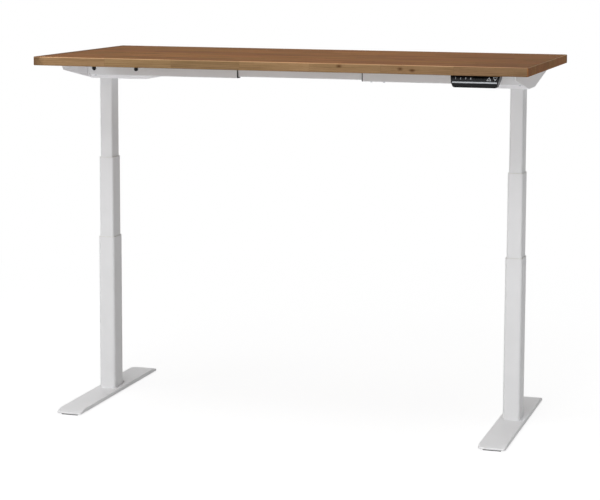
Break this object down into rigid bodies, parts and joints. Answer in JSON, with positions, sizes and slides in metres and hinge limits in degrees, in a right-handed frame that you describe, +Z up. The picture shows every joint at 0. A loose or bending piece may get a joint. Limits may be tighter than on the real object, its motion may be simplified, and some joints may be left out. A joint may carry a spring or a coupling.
{
  "type": "height-adjustable desk",
  "caption": "Standing desk: a glued wooden top on two powder-coated three-stage lifting legs with flat feet, driven by motors and worked from a black keypad.",
  "frame": {"origin": "on the floor, under the middle of the desktop (the middle of the object's box at its base)", "axes": "+X along the desk to the right as seen from its front, +Y to its rear edge, +Z up"},
  "size_m": [1.524, 0.702, 1.12],
  "materials": {
    "oak_top": "stained, matt varnished",
    "white_steel": "satin powder coat",
    "rubber": "matt",
    "zinc_steel": "zinc plated",
    "black_steel": "black oxide",
    "glide_plastic": "moulded acetal",
    "brass": "turned",
    "bright_steel": "rolled",
    "cast_aluminium": "die cast",
    "motor_steel": "painted",
    "control_plastic": "fine texture",
    "black_plastic": "moulded",
    "gloss_black": "polished",
    "silver_trim": "satin anodised",
    "smoked_window": "polished, smoked"
  },
  "bodies": {
    "base": {"left_foot": "white_steel", "right_foot": "white_steel", "front_left_pad": "rubber", "front_right_pad": "rubber", "rear_left_pad": "rubber", "rear_right_pad": "rubber", "foot_bolts": "zinc_steel", "left_outer_tube": "white_steel", "right_outer_tube": "white_steel", "left_outer_glide": "glide_plastic", "right_outer_glide": "glide_plastic", "left_push_tube": "bright_steel", "right_push_tube": "bright_steel", "left_base_nut": "brass", "right_base_nut": "brass"},
    "left_middle": {"left_middle_tube": "white_steel", "left_middle_glide": "glide_plastic", "left_carrier_tube": "bright_steel", "left_carrier_nut": "brass"},
    "left_lower_screw": {"left_lower_screw": "bright_steel"},
    "left_upper_screw": {"left_upper_screw": "bright_steel"},
    "right_middle": {"right_middle_tube": "white_steel", "right_middle_glide": "glide_plastic", "right_carrier_tube": "bright_steel", "right_carrier_nut": "brass"},
    "right_lower_screw": {"right_lower_screw": "bright_steel"},
    "right_upper_screw": {"right_upper_screw": "bright_steel"},
    "memory_key_1": {"memory_key_1": "gloss_black"},
    "memory_key_2": {"memory_key_2": "gloss_black"},
    "memory_key_3": {"memory_key_3": "gloss_black"},
    "memory_key_4": {"memory_key_4": "gloss_black"},
    "up_key": {"up_key": "gloss_black"},
    "down_key": {"down_key": "gloss_black"},
    "desk_top": {"desktop": "oak_top", "desktop_screws": "zinc_steel", "left_inner_tube": "white_steel", "right_inner_tube": "white_steel", "left_gearbox": "cast_aluminium", "right_gearbox": "cast_aluminium", "left_motor": "motor_steel", "right_motor": "motor_steel", "left_head_box": "white_steel", "right_head_box": "white_steel", "left_side_arm": "white_steel", "right_side_arm": "white_steel", "left_front_rail": "white_steel", "left_rear_rail": "white_steel", "right_front_rail": "white_steel", "right_rear_rail": "white_steel", "front_centre_rail": "white_steel", "rear_centre_rail": "white_steel", "rail_liners": "black_plastic", "rail_bolts": "black_steel", "rail_set_screws": "zinc_steel", "control_box": "control_plastic", "mains_inlet": "black_plastic", "keypad_shell": "gloss_black", "keypad_strip": "silver_trim", "keypad_display": "smoked_window"}
  },
  "joints": [
    {"name": "lift", "type": "slide", "parent": "base", "child": "desk_top", "axis": [0, 0, 1], "range_m": [-0.5, 0.14]},
    {"name": "left_middle_slide", "type": "slide", "parent": "base", "child": "left_middle", "axis": [0, 0, 1], "range_m": [-0.2505, 0.0705]},
    {"name": "left_lower_screw_turn", "type": "hinge", "parent": "left_middle", "child": "left_lower_screw", "pos_m": [-0.669, 0.018, 0.6], "axis": [0, 0, 1], "range_deg": [-9010, 2530]},
    {"name": "left_upper_screw_turn", "type": "hinge", "parent": "desk_top", "child": "left_upper_screw", "pos_m": [-0.669, 0.018, 1], "axis": [0, 0, 1], "range_deg": [-9010, 2530]},
    {"name": "right_middle_slide", "type": "slide", "parent": "base", "child": "right_middle", "axis": [0, 0, 1], "range_m": [-0.2505, 0.0705]},
    {"name": "right_lower_screw_turn", "type": "hinge", "parent": "right_middle", "child": "right_lower_screw", "pos_m": [0.669, 0.018, 0.6], "axis": [0, 0, 1], "range_deg": [-9010, 2530]},
    {"name": "right_upper_screw_turn", "type": "hinge", "parent": "desk_top", "child": "right_upper_screw", "pos_m": [0.669, 0.018, 1], "axis": [0, 0, 1], "range_deg": [-9010, 2530]},
    {"name": "memory_key_1_press", "type": "slide", "parent": "desk_top", "child": "memory_key_1", "axis": [0, 0.8619, -0.507], "range_m": [0, 0.0006], "stiffness_N_per_m": 500, "springref_m": -0.001},
    {"name": "memory_key_2_press", "type": "slide", "parent": "desk_top", "child": "memory_key_2", "axis": [0, 0.8619, -0.507], "range_m": [0, 0.0006], "stiffness_N_per_m": 500, "springref_m": -0.001},
    {"name": "memory_key_3_press", "type": "slide", "parent": "desk_top", "child": "memory_key_3", "axis": [0, 0.8619, -0.507], "range_m": [0, 0.0006], "stiffness_N_per_m": 500, "springref_m": -0.001},
    {"name": "memory_key_4_press", "type": "slide", "parent": "desk_top", "child": "memory_key_4", "axis": [0, 0.8619, -0.507], "range_m": [0, 0.0006], "stiffness_N_per_m": 500, "springref_m": -0.001},
    {"name": "up_key_press", "type": "slide", "parent": "desk_top", "child": "up_key", "axis": [0, 0.8619, -0.507], "range_m": [0, 0.0006], "stiffness_N_per_m": 500, "springref_m": -0.001},
    {"name": "down_key_press", "type": "slide", "parent": "desk_top", "child": "down_key", "axis": [0, 0.8619, -0.507], "range_m": [0, 0.0006], "stiffness_N_per_m": 500, "springref_m": -0.001}
  ],
  "couplings": [
    {"joint": "left_middle_slide", "follows": "lift", "ratio": 0.5},
    {"joint": "left_lower_screw_turn", "follows": "lift", "rad_per_m": 314.16},
    {"joint": "left_upper_screw_turn", "follows": "lift", "rad_per_m": 314.16},
    {"joint": "right_middle_slide", "follows": "lift", "ratio": 0.5},
    {"joint": "right_lower_screw_turn", "follows": "lift", "rad_per_m": 314.16},
    {"joint": "right_upper_screw_turn", "follows": "lift", "rad_per_m": 314.16}
  ]
}
